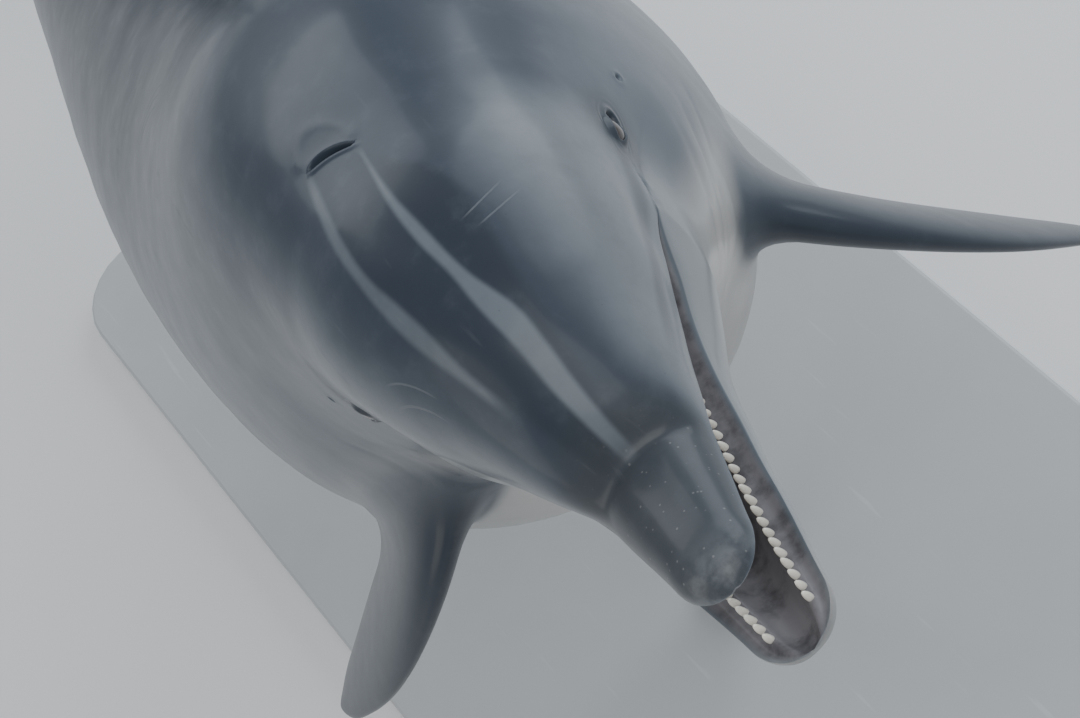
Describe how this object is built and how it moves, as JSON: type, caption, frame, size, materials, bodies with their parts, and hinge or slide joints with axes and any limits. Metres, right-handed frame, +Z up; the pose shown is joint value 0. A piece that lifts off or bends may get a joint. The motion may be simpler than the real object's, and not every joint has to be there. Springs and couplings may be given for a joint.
{
  "type": "bottlenose dolphin model",
  "caption": "Life-size bottlenose dolphin display model, open mouth with peg teeth, spread flippers, arched body, on a flat base with upright rods.",
  "frame": {"origin": "centre of the underside of the stand's base", "axes": "+Z up, -Y the way the animal faces, +X to its left; the base rests on z = 0"},
  "size_m": [0.78, 2.6658, 1.3253],
  "materials": {
    "dolphin_skin": "wet-looking smooth grey, darker above than below",
    "dolphin_tongue": "moist greyish pink",
    "dolphin_eye": "dark, wet and clear-coated",
    "stand_paint": "pale grey satin paint",
    "stand_steel": "satin brushed steel",
    "dolphin_tooth": "polished off-white enamel"
  },
  "bodies": {
    "root": {"head": "dolphin_skin", "lower_jaw": "dolphin_skin", "neck": "dolphin_skin", "trunk": "dolphin_skin", "loin": "dolphin_skin", "tail_stock": "dolphin_skin", "dorsal_fin": "dolphin_skin", "flipper_left": "dolphin_skin", "flipper_right": "dolphin_skin", "fluke_left": "dolphin_skin", "fluke_right": "dolphin_skin", "tongue": "dolphin_tongue", "eye_left": "dolphin_eye", "eye_right": "dolphin_eye", "stand_base": "stand_paint", "stand_collar_front": "stand_steel", "stand_collar_rear": "stand_steel", "stand_rod_front": "stand_steel", "stand_rod_rear": "stand_steel"}
  },
  "joints": []
}
